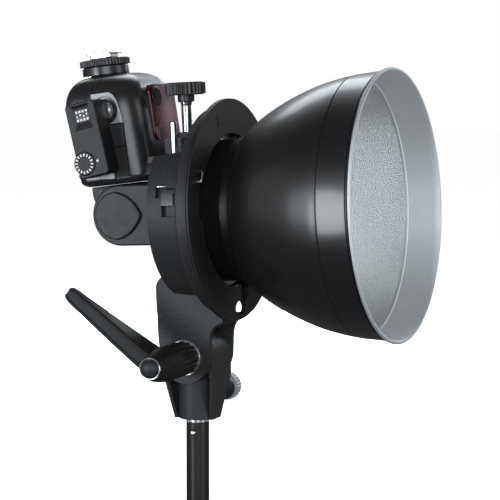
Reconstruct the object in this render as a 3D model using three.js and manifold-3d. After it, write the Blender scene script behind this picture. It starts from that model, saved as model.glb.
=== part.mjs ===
// Studio light head: a speedlight clamped in a ring bracket with a bowl reflector, on the end of a stand.
// Millimetres, +Z up, +X the way the light points. Origin: centre of the stand tube's lower end.
import * as THREE from 'three';
import { mergeVertices } from 'three/addons/utils/BufferGeometryUtils.js';
import Module from 'manifold-3d';

const wasm = await Module();
wasm.setup();
const rad = THREE.MathUtils.degToRad;

// ---- Driving dimensions ------------------------------------------------------------------------
const GAP = 0.3;                  // clearance between neighbouring pieces
const PIVOT_Z = 106;              // tilt axis above the tube's lower end
const HEAD_TILT = rad(3);         // the whole head is tilted up by this much
const AXIS_Z = 99.2;              // optical axis above the tilt axis
const TUBE_R = 8;                 // stand tube, 16 mm
const TUBE_TOP = 58.6;
const SPIGOT_R = 7.7;
const COLLAR_Z = 58.9;            // knurled collar between tube and socket
const SOCKET_R = 13;
const KNUCKLE_R = 18;
const KNUCKLE_HALF = 16.2;
const CHEEK_IN = 16.5;            // fork cheeks, inner and outer faces
const CHEEK_OUT = 21.5;
const FLANGE_R = 76;              // mount ring, 152 mm
const FLANGE_BACK = 30;
const FLANGE_FRONT = 33;
const RING_IN = 52.5;             // throat of the mount ring
const COLLAR_R = 70;
const DRUM_IN = 54;
const DRUM_BACK = -5; // rear face of the drum, along the head's axis
const NECK_R = 48.5;              // reflector neck
const RIM_R = 91.2;               // reflector rim
const CLAMP_X = 1;                // clamp screw, and the guide pins beside it
const PIN_Y = 23;
const HINGE_X = -37;              // flash head hinge, on the optical axis height
const BODY_LEAN = rad(4.5);       // flash body leans back from upright
const HEAD_HALF_Z = 20.8;         // flash head, half its height and half its width
const HEAD_HALF_Y = 35;
const BODY_HALF_Y = 38;           // flash body, in the frame of its hinge
const BODY_FRONT = 24.5;
const BODY_BACK = -33;
const BODY_SEAM = -9.5;
const BODY_BASE = 21.3;
const BODY_TOP = 97;
const FOOT_X = -14.5;             // axis of the foot and its lock ring
const UMBRELLA_Y = 3;             // umbrella shaft hole, below the throat
const UMBRELLA_Z = 31.5;
const UMBRELLA_R = 4.4;
const GRUB_SCREW_X = 16;          // small screw that holds the umbrella shaft

// ---- Solids --------------------------------------------------------------------------------------
const [AX, AY, AZ] = [new THREE.Vector3(1, 0, 0), new THREE.Vector3(0, 1, 0), new THREE.Vector3(0, 0, 1)];
const basis = (a, b, c) => new THREE.Matrix4().makeBasis(a, b, c);

// A lathe or cylinder is made about Y and turned to lie along the named axis.
const ALONG = {
  x: basis(AY, AX, AZ.clone().negate()),
  y: new THREE.Matrix4(),
  z: basis(AX, AZ, AY.clone().negate()),
};
// A flat outline is stood up to face the named axis: x takes (y, z), y takes (x, z), z takes (x, y).
const FACING = { x: basis(AY, AZ, AX), y: basis(AX, AZ, AY.clone().negate()), z: new THREE.Matrix4() };

// Moves a solid to its place: the two given coordinates are those of the other axes, in x, y, z order.
function across(axis, [a, b]) {
  if (axis === 'x') return [0, a, b];
  if (axis === 'y') return [a, 0, b];
  return [a, b, 0];
}

// Turns a three.js geometry into a closed solid with its faces pointing out.
function solid(geometry) {
  const bare = geometry.clone();
  bare.deleteAttribute('normal');
  bare.deleteAttribute('uv');
  const merged = mergeVertices(bare, 1e-4);
  const points = merged.attributes.position.array;
  const corner = (i) => new THREE.Vector3().fromArray(points, 3 * i);
  const faces = [];
  let volume = 0;
  for (let i = 0; i < merged.index.count; i += 3) {
    const [a, b, c] = merged.index.array.slice(i, i + 3);
    if (a === b || b === c || a === c) continue;
    faces.push([a, b, c]);
    volume += corner(a).dot(corner(b).cross(corner(c)));
  }
  const outward = volume > 0 ? faces : faces.map(([a, b, c]) => [a, c, b]);
  const triVerts = new Uint32Array(outward.flat());
  return new wasm.Manifold(new wasm.Mesh({ numProp: 3, vertProperties: points, triVerts }));
}

function rod(axis, radius, from, to, at = [0, 0], sides = 20) {
  const geometry = new THREE.CylinderGeometry(radius, radius, to - from, sides);
  geometry.translate(0, (from + to) / 2, 0);
  geometry.applyMatrix4(ALONG[axis]);
  geometry.translate(...across(axis, at));
  return solid(geometry);
}

// A turned solid: the profile is a list of [radius, distance along the axis].
function turned(axis, profile, at = [0, 0], sides = 20) {
  const geometry = new THREE.LatheGeometry(profile.map(([r, t]) => new THREE.Vector2(r, t)), sides);
  geometry.applyMatrix4(ALONG[axis]);
  geometry.translate(...across(axis, at));
  return solid(geometry);
}

function ring(axis, inner, outer, from, to, at = [0, 0], sides = 20) {
  return turned(axis, [[inner, from], [outer, from], [outer, to], [inner, to], [inner, from]], at, sides);
}

// An extruded outline, with its edges bevelled where a bevel is given.
function slab(facing, outline, from, to, bevel = 0, curveSegments = 4) {
  const polygon = (points) => new THREE.Shape(points.map(([a, b]) => new THREE.Vector2(a, b)));
  const shape = Array.isArray(outline) ? polygon(outline) : outline;
  const geometry = new THREE.ExtrudeGeometry(shape, {
    depth: to - from - 2 * bevel,
    bevelEnabled: bevel > 0,
    bevelThickness: bevel,
    bevelSize: bevel,
    bevelOffset: -bevel,
    bevelSegments: 1,
    curveSegments,
  });
  geometry.translate(0, 0, bevel);
  geometry.applyMatrix4(FACING[facing]);
  const start = { x: [from, 0, 0], y: [0, to, 0], z: [0, 0, from] }[facing];
  geometry.translate(...start);
  return solid(geometry);
}

function block(x0, x1, y0, y1, z0, z1) {
  const geometry = new THREE.BoxGeometry(x1 - x0, y1 - y0, z1 - z0);
  geometry.translate((x0 + x1) / 2, (y0 + y1) / 2, (z0 + z1) / 2);
  return solid(geometry);
}

function roundedRect(a0, a1, b0, b1, radius) {
  const shape = new THREE.Shape();
  shape.moveTo(a0 + radius, b0);
  shape.lineTo(a1 - radius, b0);
  shape.absarc(a1 - radius, b0 + radius, radius, -Math.PI / 2, 0);
  shape.lineTo(a1, b1 - radius);
  shape.absarc(a1 - radius, b1 - radius, radius, 0, Math.PI / 2);
  shape.lineTo(a0 + radius, b1);
  shape.absarc(a0 + radius, b1 - radius, radius, Math.PI / 2, Math.PI);
  shape.lineTo(a0, b0 + radius);
  shape.absarc(a0 + radius, b0 + radius, radius, Math.PI, 1.5 * Math.PI);
  return shape;
}

// A round outline with evenly spaced flutes, for knobs and knurled rings.
function fluted(radius, depth, flutes, stepsPerFlute = 2, centre = [0, 0]) {
  const points = [];
  for (let i = 0; i < flutes * stepsPerFlute; i += 1) {
    const angle = (2 * Math.PI * i) / (flutes * stepsPerFlute);
    const r = radius - (depth / 2) * (1 - Math.cos(angle * flutes));
    points.push([centre[0] + r * Math.cos(angle), centre[1] + r * Math.sin(angle)]);
  }
  return points;
}

function hexagon(acrossFlats, centre = [0, 0]) {
  const r = acrossFlats / Math.sqrt(3);
  return Array.from({ length: 6 }, (_, i) => {
    const angle = (i * Math.PI) / 3;
    return [centre[0] + r * Math.cos(angle), centre[1] + r * Math.sin(angle)];
  });
}

function finish(color, roughness, metalness) {
  return new THREE.MeshStandardMaterial({ color, roughness, metalness });
}

const plastic = finish(0x141414, 0.62, 0);
const satin = finish(0x101010, 0.4, 0);
const rubber = finish(0x161616, 0.85, 0);
const paint = finish(0x0d0d0d, 0.35, 0.2);
const steel = finish(0xb9bcc0, 0.3, 1);
const chrome = finish(0xdadde0, 0.12, 1);
const brass = finish(0xb08d4a, 0.35, 1);
const silver = finish(0xc4c6c8, 0.45, 0.9);
const clear = finish(0xd8dcdf, 0.1, 0);
const redPanel = finish(0x3a0509, 0.12, 0);

const object = new THREE.Group();

// Adds one named piece to a group.
function piece(group, name, body, material) {
  const mesh = body.getMesh();
  const geometry = new THREE.BufferGeometry();
  geometry.setAttribute('position', new THREE.BufferAttribute(mesh.vertProperties, 3));
  geometry.setIndex(new THREE.BufferAttribute(mesh.triVerts, 1));
  geometry.computeVertexNormals();
  const node = new THREE.Mesh(geometry, material);
  node.name = name;
  group.add(node);
}

function frameGroup(parent, x, z, lean) {
  const group = new THREE.Group();
  group.position.set(x, 0, z);
  group.rotation.y = -lean;
  parent.add(group);
  return group;
}

// ---- Stand tube, spigot and rivet ---------------------------------------------------------------
function standTube() {
  const rivetZ = 51.7;
  const rivetHole = rod('y', 1.9 + GAP, -12, 0, [0, rivetZ], 16);
  piece(object, 'stand_tube', ring('z', 6.8, TUBE_R, 0, TUBE_TOP).subtract(rivetHole), paint);
  const spigot = turned('z', [
    [0, 34], [6.5, 34], [6.5, COLLAR_Z], [TUBE_R, COLLAR_Z], [TUBE_R, 61], [SPIGOT_R - 1.2, 61.1],
    [SPIGOT_R - 1.2, 62.6], [SPIGOT_R, 63.4], [SPIGOT_R, 70.6], [SPIGOT_R - 1.6, 72.2],
    [SPIGOT_R - 1.6, 79.8], [SPIGOT_R, 81.4],
    [SPIGOT_R, 90], [SPIGOT_R - 1.2, 91.2], [0, 91.2],
  ]);
  piece(object, 'stand_spigot', spigot.subtract(rivetHole), steel);
  const rivet = turned('y', [[0, -9.6], [1.2, -9.3], [1.85, -8.4], [1.9, -4], [0, -4]], [0, rivetZ], 16);
  piece(object, 'spigot_rivet', rivet, brass);
}

// ---- Socket housing and its lock knob, in the frame of the tilt axis -----------------------------
function socketHousing(pivot) {
  const bottom = -44.6;
  const wall = (side) => slab('y', [
    [side * 18, 0], [side * 18.5, -15], [side * 14.3, bottom], [side * 11.6, bottom], [side * 15.9, -15],
    [side * 14.6, 0],
  ], -KNUCKLE_HALF, KNUCKLE_HALF);
  const wallLimit = slab('x', [
    [-KNUCKLE_HALF, 2], [-KNUCKLE_HALF, -14], [-7, bottom],
    [7, bottom], [KNUCKLE_HALF, -14], [KNUCKLE_HALF, 2],
  ], -24, 24);
  const walls = wall(1).add(wall(-1)).intersect(wallLimit);
  const washerRecess = (side) => {
    const [inner, outer] = [side * 14.6, side * 17];
    return rod('y', 13, Math.min(inner, outer), Math.max(inner, outer));
  };
  const lockZ = -30;
  const housing = rod('y', KNUCKLE_R, -KNUCKLE_HALF, KNUCKLE_HALF, [0, 0], 40)
    .add(rod('z', SOCKET_R, bottom, -6, [0, 0], 32))
    .add(walls)
    .add(rod('y', 6, 8, 26.8, [0, lockZ], 20))
    .subtract(rod('z', SPIGOT_R + GAP, bottom - 1, -14, [0, 0], 32))
    .subtract(rod('y', 4.6, -20, 20, [0, 0], 20))
    .subtract(washerRecess(1))
    .subtract(washerRecess(-1))
    .subtract(rod('y', 3.3, 0, 30, [0, lockZ], 20));
  piece(pivot, 'socket_housing', housing, plastic);

  const knobShape = slab('y', fluted(10.5, 1.4, 10, 4, [0, lockZ]), 42, 57);
  const knob = knobShape
    .add(turned('y', [[0, 27.2], [6.4, 27.2], [7.4, 43], [0, 43]], [0, lockZ], 24))
    .subtract(rod('y', 3.3, 20, 48, [0, lockZ], 20));
  piece(pivot, 'stand_lock_knob', knob, plastic);
  piece(pivot, 'stand_lock_screw', rod('y', 3, 6.5, 47.6, [0, lockZ], 20), steel);
}

// ---- Tilt bolt and clamping lever, about the tilt axis -------------------------------------------
function tiltJoint(head) {
  const boltEnd = turned('y', [[0, 28.5], [5.4, 28.5], [4.6, 31.5], [0, 31.5]], [0, 0], 20);
  const bolt = rod('y', 4, -44, 30, [0, 0], 20).add(boltEnd);
  piece(head, 'tilt_bolt', bolt, steel);
  const nut = slab('y', hexagon(13), 21.8, 28.2).subtract(rod('y', 4.3, 20, 30, [0, 0], 20));
  piece(head, 'tilt_nut', nut, steel);
  piece(head, 'friction_washer_near', ring('y', 4.7, 12.7, -16.2, -14.9, [0, 0], 28), rubber);
  piece(head, 'friction_washer_far', ring('y', 4.7, 12.7, 14.9, 16.2, [0, 0], 28), rubber);
}

function tiltLever(pivot) {
  piece(pivot, 'lever_washer', ring('y', 4.4, 12.3, -23.2, -21.8, [0, 0], 36), steel);
  const insert = slab('y', fluted(7.2, 1, 12, 4), -62, -23.6)
    .subtract(rod('y', 4.3, -46, -20, [0, 0], 20))
    .subtract(rod('y', 2.3, -64, -46, [0, 0], 16));
  piece(pivot, 'lever_insert', insert, brass);

  const barrel = slab('y', fluted(11.8, 1.2, 16, 4), -47.6, -23.6);
  const hub = turned('y', [
    [0, -76], [8, -76], [10.4, -74.8], [12, -72], [12, -48.4], [11.2, -47.4], [0, -47.4],
  ], [0, 0], 24);
  const reach = 74.5;
  const rise = rad(143);
  const arm = armSolid(reach).rotate(0, -THREE.MathUtils.radToDeg(rise), 0);
  const handle = barrel.add(hub).add(arm)
    .subtract(rod('y', 7.5, -62.3, -20, [0, 0], 28))
    .subtract(rod('y', 2.6, -80, -60, [0, 0], 16));
  piece(pivot, 'lever_handle', handle, plastic);
  const cap = turned('y', [
    [0, -81], [2.6, -80.8], [4.8, -80], [6.2, -78.6], [6.6, -76.3], [2, -76.3], [2, -58], [0, -58],
  ], [0, 0], 24);
  piece(pivot, 'lever_cap_screw', cap, satin);
}

// The lever's arm, drawn along +X before it is turned to its rest angle.
function armSolid(reach) {
  const plan = [
    [0, -75], [reach - 6, -73.4], [reach + 4, -72.4], [reach + 5.2, -69.6], [reach + 3, -67.4], [0, -48.6],
  ];
  const side = new THREE.Shape();
  side.moveTo(0, -6.6);
  side.lineTo(reach, -5.2);
  side.absarc(reach, 0, 5.2, -Math.PI / 2, Math.PI / 2);
  side.lineTo(0, 6.6);
  return slab('z', plan, -9, 9).intersect(slab('y', side, -80, -44, 0, 10));
}

// ---- Ring bracket, in the frame of the tilted head -------------------------------------------------
function bracketFrame(head) {
  const drum = turned('x', [
    [0, DRUM_BACK], [59, DRUM_BACK], [61.6, 20.5],
    [COLLAR_R - 1, 20.5], [COLLAR_R, 21.5], [COLLAR_R, 29.7], [0, 29.7],
  ], [0, AXIS_Z], 48);

  const armSide = new THREE.Shape();
  armSide.moveTo(18, 0);
  armSide.lineTo(18.9, 10);
  armSide.quadraticCurveTo(19.5, 22, 29.7, 24);
  armSide.lineTo(29.7, 62);
  armSide.lineTo(-8, 62);
  armSide.lineTo(-9.2, 57);
  armSide.absarc(-9.2, 47, 10, Math.PI / 2, Math.PI);
  armSide.lineTo(-19.2, 14);
  armSide.lineTo(-18, 0);
  armSide.absarc(0, 0, 18, Math.PI, 2 * Math.PI);
  const arm = slab('y', armSide, -CHEEK_OUT, CHEEK_OUT, 0, 10);
  const forkSlot = block(-30, 40, -CHEEK_IN, CHEEK_IN, -30, 20);

  const shelf = slab('y', [[-9.8, 134.5], [20.5, 134.5], [20.5, 142], [-9.8, 138.4]], -43, 43);
  const cradle = block(-5, 22, -31, 31, 71, 74.4).add(block(-5, 22, -14, 14, 40, 72));
  const nutBoss = turned('z', [[0, 149], [9.4, 149], [8.6, 153.4], [0, 153.4]], [CLAMP_X, 0], 28);
  const clampBlock = block(-9.8, 18, -15, 15, 136, 150).add(nutBoss);

  const inside = rod('x', DRUM_IN, DRUM_BACK - 0.4, 40, [0, AXIS_Z], 48);
  const chamber = rod('x', 60, 22.5, 40, [0, AXIS_Z], 48);
  const aboveShelf = slab('y', [[-12, 138.2], [20.5, 142], [20.5, 180], [-12, 180]], -80, 80);
  const leverSlot = ringSegment(56.4, 63, 6.4, 16.4, 162, 180);
  const bladeSlot = ringSegment(56.4, 63, 1.6, 8.6, 159, 168);
  const umbrella = rod('x', UMBRELLA_R, -30, 40, [UMBRELLA_Y, UMBRELLA_Z], 24);
  const mouth = umbrellaMouth(20.3);
  const sideWindow = block(20.2, 30, UMBRELLA_Y, 60, UMBRELLA_Z - 4.6, UMBRELLA_Z + 4.6);
  const holes = [-1, 1].map((side) => rod('z', 2.7, 120, 160, [CLAMP_X, side * PIN_Y], 16));
  let frame = drum.subtract(aboveShelf)
    .add(arm)
    .subtract(inside)
    .subtract(chamber)
    .add(shelf)
    .add(cradle)
    .add(clampBlock)
    .subtract(forkSlot)
    .subtract(umbrella)
    .subtract(mouth)
    .subtract(sideWindow)
    .subtract(rod('y', 1.6, 4, 60, [GRUB_SCREW_X, UMBRELLA_Z], 16))
    .subtract(leverSlot)
    .subtract(bladeSlot)
    .subtract(rod('y', 4.4, -30, 30, [0, 0], 20))
    .subtract(rod('z', 4.5, 120, 160, [CLAMP_X, 0], 24))
    .subtract(rod('z', 6.8, 142, 160, [CLAMP_X, 0], 24));
  holes.forEach((hole) => { frame = frame.subtract(hole); });
  RING_SCREW_ANGLES.forEach((angle) => { frame = frame.subtract(ringScrewHole(angle, 1.8)); });
  piece(head, 'bracket_frame', frame, plastic);
  piece(head, 'clamp_nut', ring('z', 4.4, 6.5, 142.3, 153, [CLAMP_X, 0], 24), brass);
  piece(head, 'cradle_pad', block(-4, 20, -29, 29, 74.7, 78.1), rubber);
  const grubScrew = turned('y', [
    [0, 8.4], [0.7, 8.4], [1.3, 9], [1.3, 20.4], [0, 20.4],
  ], [GRUB_SCREW_X, UMBRELLA_Z], 16);
  piece(head, 'umbrella_screw', grubScrew, steel);
}

// A block of a ring about the optical axis, between two angles from +Y toward +Z.
function ringSegment(inner, outer, from, to, start, end) {
  const shape = new THREE.Shape();
  const [a, b] = [rad(start), rad(end)];
  shape.absarc(0, 0, outer, a, b);
  shape.absarc(0, 0, inner, b, a, true);
  const segment = slab('x', shape, from, to, 0, 6);
  return segment.translate(0, 0, AXIS_Z);
}

const RING_SCREW_ANGLES = [110, 225, 340];
const BAYONET_NOTCHES = [50, 170, 290];
const STAPLE_R = 62;
const STAPLE_ANGLES = [152, 158.6];
function ringScrewHole(angle, radius) {
  const at = [65 * Math.cos(rad(angle)), AXIS_Z + 65 * Math.sin(rad(angle))];
  return rod('x', radius, 23, 40, at, 16);
}

// The oval mouth of the umbrella shaft hole, from the ring's front back to the given place.
function umbrellaMouth(from) {
  const oval = new THREE.Shape();
  oval.absellipse(UMBRELLA_Y, UMBRELLA_Z, 8.2, 5.1, 0, 2 * Math.PI);
  return slab('x', oval, from, 40, 0, 12);
}

function mountRing(head) {
  const plate = turned('x', [
    [RING_IN, FLANGE_BACK], [FLANGE_R, FLANGE_BACK], [FLANGE_R, 31.2], [FLANGE_R - 0.7, 31.5],
    [FLANGE_R, 31.8], [FLANGE_R, FLANGE_FRONT], [RING_IN, FLANGE_FRONT], [RING_IN, FLANGE_BACK],
  ], [0, AXIS_Z], 56);
  let flange = plate;
  BAYONET_NOTCHES.forEach((middle) => {
    flange = flange.subtract(ringSegment(40, 58.4, 28, 36, middle - 13, middle + 13));
  });
  flange = flange.subtract(ringSegment(50, 64, 28, 36, 276, 286));
  flange = flange.subtract(umbrellaMouth(20));
  RING_SCREW_ANGLES.forEach((angle, i) => {
    const at = [65 * Math.cos(rad(angle)), AXIS_Z + 65 * Math.sin(rad(angle))];
    const sink = turned('x', [[0, 31], [1.9, 31], [3.4, 32.6], [3.4, 34], [0, 34]], at, 16);
    flange = flange.subtract(ringScrewHole(angle, 1.8)).subtract(sink);
    const screw = turned('x', [[0, 23.6], [1.5, 23.6], [1.5, 31.2], [3, 32.7], [0, 32.7]], at, 16);
    piece(head, `ring_screw_${i + 1}`, screw, steel);
  });
  const feet = STAPLE_ANGLES.map((angle) => [
    STAPLE_R * Math.cos(rad(angle)),
    AXIS_Z + STAPLE_R * Math.sin(rad(angle)),
  ]);
  feet.forEach((foot) => { flange = flange.subtract(rod('x', 1.2, 26, 36, foot, 12)); });
  piece(head, 'mount_ring', flange, paint);
  piece(head, 'lock_staple', stapleSolid(feet), steel);
}

// A bent wire: two legs into the ring and a bar across its front.
function stapleSolid([first, second]) {
  const between = (share) => first.map((value, i) => value + (second[i] - value) * share);
  const at = (x, [y, z]) => new THREE.Vector3(x, y, z);
  const path = new THREE.CurvePath();
  path.add(new THREE.LineCurve3(at(30.4, first), at(34.6, first)));
  path.add(new THREE.QuadraticBezierCurve3(at(34.6, first), at(35.6, first), at(35.6, between(0.15))));
  path.add(new THREE.LineCurve3(at(35.6, between(0.15)), at(35.6, between(0.85))));
  path.add(new THREE.QuadraticBezierCurve3(at(35.6, between(0.85)), at(35.6, second), at(34.6, second)));
  path.add(new THREE.LineCurve3(at(34.6, second), at(30.4, second)));
  const wire = new THREE.Shape();
  wire.absarc(0, 0, 0.85, 0, 2 * Math.PI);
  const bent = { steps: 14, curveSegments: 2, extrudePath: path, bevelEnabled: false };
  return solid(new THREE.ExtrudeGeometry(wire, bent));
}

// ---- Release lever on the drum's near side --------------------------------------------------------
function releaseLever(head) {
  piece(head, 'release_lever', ringSegment(56.8, 62.2, 7, 15.8, 165, 173), plastic);
}

// ---- Pressure plate, guide pins, screw and knob ---------------------------------------------------
function clamp(head) {
  const plate = slab('z', roundedRect(-7, 15, -31, 31, 4), 123.2, 126.4)
    .add(rod('z', 7.6, 126, 127.3, [CLAMP_X, 0], 24))
    .subtract(rod('z', 4.4, 125, 140, [CLAMP_X, 0], 24));
  const pins = [-1, 1].map((side) => side * PIN_Y);
  let drilled = plate;
  pins.forEach((y) => { drilled = drilled.subtract(rod('z', 2.65, 123.9, 140, [CLAMP_X, y], 16)); });
  piece(head, 'pressure_plate', drilled, paint);
  piece(head, 'pressure_pad', slab('z', roundedRect(-7, 15, -31, 31, 4), 120.3, 122.9), rubber);
  pins.forEach((y, i) => {
    const pin = turned('z', [
      [0, 124.2], [2.35, 124.2], [2.35, 160.9], [1.6, 161.7], [0, 161.7],
    ], [CLAMP_X, y], 20);
    piece(head, `guide_pin_${i === 0 ? 'near' : 'far'}`, pin, chrome);
  });
  const knob = slab('z', fluted(13.75, 1.5, 16, 4), 178.8, 187.7)
    .add(turned('z', [[0, 174], [5.2, 174], [5.8, 174.8], [5.8, 179.4], [0, 179.4]], [0, 0], 24))
    .subtract(rod('z', 4.3, 170, 184.3, [0, 0], 24))
    .translate(CLAMP_X, 0, 0);
  piece(head, 'clamp_knob', knob, plastic);
  const screw = turned('z', [[0, 125.3], [3.4, 125.3], [4, 126], [4, 184], [0, 184]], [CLAMP_X, 0], 24);
  piece(head, 'clamp_screw', screw, chrome);
}

// ---- Bowl reflector -------------------------------------------------------------------------------
function reflector(head) {
  const outer = [
    [NECK_R, 24], [NECK_R, 43.3], [50, 43.6], [50, 49.6], [56, 53], [61.4, 60], [66.6, 68], [72.4, 78.6],
    [78, 91], [82.9, 104.6], [86.2, 118], [87.7, 127.8], [89, 140], [90.4, 148], [RIM_R + 0.6, 149.6],
    [RIM_R, 151.8], [RIM_R - 1.4, 151.4],
  ];
  const wall = 1.4;
  const inner = [
    [89, 147], [86.3, 127.8], [84.6, 118], [81.3, 104.6], [76.4, 91], [70.8, 78.8], [65, 68.6], [59.8, 61],
    [54.4, 54.4], [NECK_R - wall, 50.4], [NECK_R - wall, 24],
  ];
  piece(head, 'reflector_shell', turned('x', [...outer, ...inner, outer[0]], [0, AXIS_Z], 52), paint);
  let lugs = ring('x', NECK_R + GAP, 51.6, 24, 27, [0, AXIS_Z], 40);
  [75, 195, 315].forEach((middle) => {
    lugs = lugs.add(ringSegment(50, 57.6, 24.6, 27, middle - 11, middle + 11));
  });
  piece(head, 'reflector_bayonet', lugs, steel);
}

// ---- Flash head, fixed in the bracket -------------------------------------------------------------
function flashHead(head) {
  const side = new THREE.Shape();
  const [low, high] = [AXIS_Z - HEAD_HALF_Z, AXIS_Z + HEAD_HALF_Z];
  side.moveTo(HINGE_X, low);
  side.lineTo(26, low);
  side.lineTo(28.4, low + 2.4);
  side.lineTo(28.4, high - 2.4);
  side.lineTo(26, high);
  side.lineTo(HINGE_X, high);
  side.absarc(HINGE_X, AXIS_Z, HEAD_HALF_Z, Math.PI / 2, 1.5 * Math.PI);
  const tongueSlot = block(-70, HINGE_X + 22, -19.4, 19.4, low - 2, high + 2);
  const lampBay = block(-9, 40, -32, 32, AXIS_Z - 17.6, AXIS_Z + 17.6);
  const shell = slab('y', side, -HEAD_HALF_Y, HEAD_HALF_Y, 1, 12)
    .subtract(tongueSlot)
    .subtract(lampBay)
    .subtract(rod('y', 7.3, -26, 26, [HINGE_X, AXIS_Z], 24));
  piece(head, 'flash_head_shell', shell, satin);
  const lens = block(25, 28, -31.7, 31.7, AXIS_Z - 17.3, AXIS_Z + 17.3);
  piece(head, 'head_lens', lens, clear);
  [-1, 1].forEach((sign) => {
    const cap = new THREE.Shape();
    cap.moveTo(-20.4, AXIS_Z + 0.6);
    cap.quadraticCurveTo(-26, AXIS_Z + 13.5, -38, AXIS_Z + 16);
    cap.absarc(-38.4, AXIS_Z, 16.4, Math.PI / 2, 1.5 * Math.PI);
    cap.quadraticCurveTo(-26, AXIS_Z - 13.5, -20.4, AXIS_Z - 0.6);
    const [from, to] = [sign * (HEAD_HALF_Y + GAP), sign * (HEAD_HALF_Y + 2.6)];
    const disc = slab('y', cap, Math.min(from, to), Math.max(from, to), 0.7, 10);
    piece(head, `hinge_cap_${sign < 0 ? 'near' : 'far'}`, disc, satin);
  });
}

function zoomCarriage(head) {
  const trough = new THREE.Shape();
  trough.absarc(12, AXIS_Z, 12.6, rad(105), rad(255));
  trough.absarc(12, AXIS_Z, 11, rad(255), rad(105), true);
  const mirror = slab('y', trough, -29, 29, 0, 12)
    .add(block(-0.8, 9, -30, -28.6, AXIS_Z - 11, AXIS_Z + 11))
    .add(block(-0.8, 9, 28.6, 30, AXIS_Z - 11, AXIS_Z + 11))
    .subtract(rod('y', 2.8, -40, 40, [5, AXIS_Z], 16));
  piece(head, 'zoom_mirror', mirror, silver);
  piece(head, 'flash_tube', rod('y', 2.5, -31, 31, [5, AXIS_Z], 16), clear);
}

// ---- Flash body, in the frame of its hinge --------------------------------------------------------
function flashYoke(yoke) {
  const side = new THREE.Shape();
  side.moveTo(18, 9);
  side.lineTo(20, 20.8);
  side.lineTo(-27, 20.8);
  side.quadraticCurveTo(-28, 9, -20.2, 2);
  side.absarc(0, 0, 20.3, rad(174), rad(386));
  const tongue = slab('y', side, -19, 19, 0.8, 12).add(rod('y', 6.9, -25, 25, [0, 0], 24));
  piece(yoke, 'flash_yoke', tongue.intersect(block(-30, 30, -30, 30, -30, 20.8)), satin);
}

// Side view: upright front, back leaning in toward the hinge, rounded top.
function bodySide(inset) {
  const shape = new THREE.Shape();
  const [back, front] = [BODY_BACK + inset, BODY_FRONT - inset];
  const [base, top] = [BODY_BASE + inset, BODY_TOP - inset];
  shape.moveTo(back + 10, base);
  shape.lineTo(front - 1, base);
  shape.quadraticCurveTo(front + 2, base, front + 2, base + 4);
  shape.lineTo(front - 1.6, top - 20);
  shape.quadraticCurveTo(front - 4, top - 3, front - 24, top);
  shape.lineTo(back + 20, top);
  shape.quadraticCurveTo(back + 2, top - 2, back, top - 18);
  shape.lineTo(back + 5, base + 5);
  shape.quadraticCurveTo(back + 6, base, back + 10, base);
  return shape;
}

// Front view: straight sides that round over into the foot.
function bodyFace(inset) {
  const shape = new THREE.Shape();
  const half = BODY_HALF_Y - inset;
  const [base, top] = [BODY_BASE + inset, BODY_TOP - inset];
  shape.moveTo(-half + 6, base);
  shape.lineTo(half - 6, base);
  shape.quadraticCurveTo(half, base, half, base + 8);
  shape.lineTo(half, top - 24);
  shape.quadraticCurveTo(half - 2, top - 1, half - 26, top);
  shape.lineTo(-half + 26, top);
  shape.quadraticCurveTo(-half + 2, top - 1, -half, top - 24);
  shape.lineTo(-half, base + 8);
  shape.quadraticCurveTo(-half, base, -half + 6, base);
  return shape;
}

// Plan view: wide round corners at the front, smaller ones at the back.
function bodyPlan(inset) {
  const shape = new THREE.Shape();
  const half = BODY_HALF_Y - inset;
  const [back, front] = [BODY_BACK - 3 + inset, BODY_FRONT + 2 - inset];
  shape.moveTo(back + 12, -half);
  shape.lineTo(front - 20, -half);
  shape.quadraticCurveTo(front - 2, -half + 1, front, -half + 18);
  shape.lineTo(front, half - 18);
  shape.quadraticCurveTo(front - 2, half - 1, front - 20, half);
  shape.lineTo(back + 12, half);
  shape.quadraticCurveTo(back + 1, half - 1, back, half - 12);
  shape.lineTo(back, -half + 12);
  shape.quadraticCurveTo(back + 1, -half + 1, back + 12, -half);
  return shape;
}

function bodyVolume(inset) {
  const half = BODY_HALF_Y - inset;
  return slab('y', bodySide(inset), -half, half, 0, 6)
    .intersect(slab('x', bodyFace(inset), BODY_BACK - 1, BODY_FRONT + 4, 0, 6))
    .intersect(slab('z', bodyPlan(inset), BODY_BASE - 5, BODY_TOP + 5, 0, 5));
}

// The red window panel leans with the front face; the same shape, grown, cuts its recess.
function windowPlate(back, front, grow) {
  const [low, high] = [48, 87];
  const [lowX, highX] = [BODY_FRONT + 1, BODY_FRONT - 0.6];
  const layer = slab('y', [
    [lowX + back, low - 2], [lowX + front, low - 2], [highX + front, high + 2], [highX + back, high + 2],
  ], -30, 40);
  return layer.intersect(slab('x', roundedRect(-17 - grow, 23 + grow, low - grow, high + grow, 6), 0, 60));
}

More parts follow.
